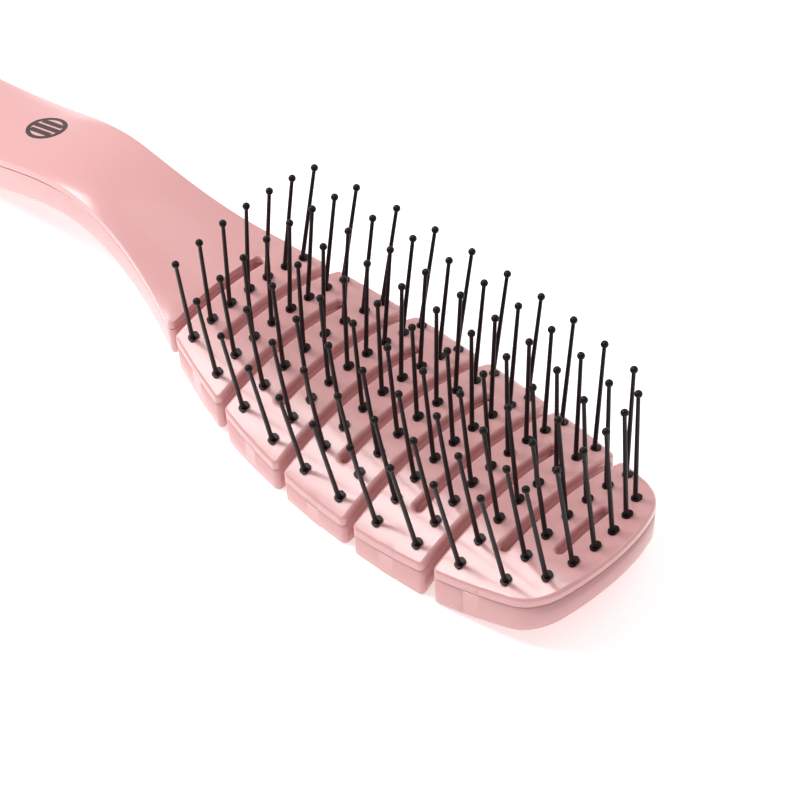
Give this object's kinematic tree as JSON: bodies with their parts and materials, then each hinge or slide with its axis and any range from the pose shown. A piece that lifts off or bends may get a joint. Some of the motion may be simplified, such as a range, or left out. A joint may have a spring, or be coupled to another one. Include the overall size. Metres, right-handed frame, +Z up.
{
  "type": "vented hair brush",
  "caption": "Flexible vented detangling brush: curved handle, slit head of sprung slats, and fanned rows of ball-tipped pins.",
  "frame": {"origin": "middle of the bounding box in plan, on the plane that the brush lies on with its pins up", "axes": "+X from the butt of the handle to the tip of the head, +Y across, +Z up along the pins"},
  "size_m": [0.248, 0.053, 0.0427],
  "materials": {
    "face_plastic": "smooth glossy moulding",
    "shell_plastic": "smooth glossy moulding",
    "pin_nylon": "satin nylon"
  },
  "bodies": {
    "handle": {"handle_cover": "face_plastic", "handle_shell": "shell_plastic", "web_1": "face_plastic"},
    "slat_1": {"slat_face_1": "face_plastic", "slat_tray_1": "shell_plastic", "pins_1": "pin_nylon", "web_2": "face_plastic"},
    "slat_2": {"slat_face_2": "face_plastic", "slat_tray_2": "shell_plastic", "pins_2": "pin_nylon", "web_3": "face_plastic"},
    "slat_3": {"slat_face_3": "face_plastic", "slat_tray_3": "shell_plastic", "pins_3": "pin_nylon", "web_4": "face_plastic"},
    "slat_4": {"slat_face_4": "face_plastic", "slat_tray_4": "shell_plastic", "pins_4": "pin_nylon", "web_5": "face_plastic"},
    "slat_5": {"slat_face_5": "face_plastic", "slat_tray_5": "shell_plastic", "pins_5": "pin_nylon", "web_6": "face_plastic"},
    "slat_6": {"slat_face_6": "face_plastic", "slat_tray_6": "shell_plastic", "pins_6": "pin_nylon", "web_7": "face_plastic"},
    "slat_7": {"slat_face_7": "face_plastic", "slat_tray_7": "shell_plastic", "pins_7": "pin_nylon", "web_8": "face_plastic"},
    "slat_8": {"slat_face_8": "face_plastic", "slat_tray_8": "shell_plastic", "pins_8": "pin_nylon", "web_9": "face_plastic"},
    "slat_9": {"slat_face_9": "face_plastic", "slat_tray_9": "shell_plastic", "pins_9": "pin_nylon", "web_10": "face_plastic"},
    "tip": {"tip_face": "face_plastic", "tip_tray": "shell_plastic", "pins_10": "pin_nylon", "pins_tip": "pin_nylon"}
  },
  "joints": [
    {"name": "flex_1", "type": "hinge", "parent": "handle", "child": "slat_1", "pos_m": [0.0209, 0, 0.01246], "axis": [0, 1, 0], "range_deg": [-2, 2], "stiffness_Nm_per_rad": 1.5, "deforming": ["web_1"]},
    {"name": "flex_2", "type": "hinge", "parent": "slat_1", "child": "slat_2", "pos_m": [0.0304, 0, 0.01145], "axis": [0, 1, 0], "range_deg": [-2, 2], "stiffness_Nm_per_rad": 1.5, "deforming": ["web_2"]},
    {"name": "flex_3", "type": "hinge", "parent": "slat_2", "child": "slat_3", "pos_m": [0.0399, 0, 0.01066], "axis": [0, 1, 0], "range_deg": [-2, 2], "stiffness_Nm_per_rad": 1.5, "deforming": ["web_3"]},
    {"name": "flex_4", "type": "hinge", "parent": "slat_3", "child": "slat_4", "pos_m": [0.0494, 0, 0.0101], "axis": [0, 1, 0], "range_deg": [-2, 2], "stiffness_Nm_per_rad": 1.5, "deforming": ["web_4"]},
    {"name": "flex_5", "type": "hinge", "parent": "slat_4", "child": "slat_5", "pos_m": [0.0589, 0, 0.00976], "axis": [0, 1, 0], "range_deg": [-2, 2], "stiffness_Nm_per_rad": 1.5, "deforming": ["web_5"]},
    {"name": "flex_6", "type": "hinge", "parent": "slat_5", "child": "slat_6", "pos_m": [0.0684, 0, 0.00965], "axis": [0, 1, 0], "range_deg": [-2, 2], "stiffness_Nm_per_rad": 1.5, "deforming": ["web_6"]},
    {"name": "flex_7", "type": "hinge", "parent": "slat_6", "child": "slat_7", "pos_m": [0.0779, 0, 0.00976], "axis": [0, 1, 0], "range_deg": [-2, 2], "stiffness_Nm_per_rad": 1.5, "deforming": ["web_7"]},
    {"name": "flex_8", "type": "hinge", "parent": "slat_7", "child": "slat_8", "pos_m": [0.0874, 0, 0.0101], "axis": [0, 1, 0], "range_deg": [-2, 2], "stiffness_Nm_per_rad": 1.5, "deforming": ["web_8"]},
    {"name": "flex_9", "type": "hinge", "parent": "slat_8", "child": "slat_9", "pos_m": [0.0969, 0, 0.01066], "axis": [0, 1, 0], "range_deg": [-2, 2], "stiffness_Nm_per_rad": 1.5, "deforming": ["web_9"]},
    {"name": "flex_10", "type": "hinge", "parent": "slat_9", "child": "tip", "pos_m": [0.1064, 0, 0.01145], "axis": [0, 1, 0], "range_deg": [-2, 2], "stiffness_Nm_per_rad": 1.5, "deforming": ["web_10"]}
  ]
}
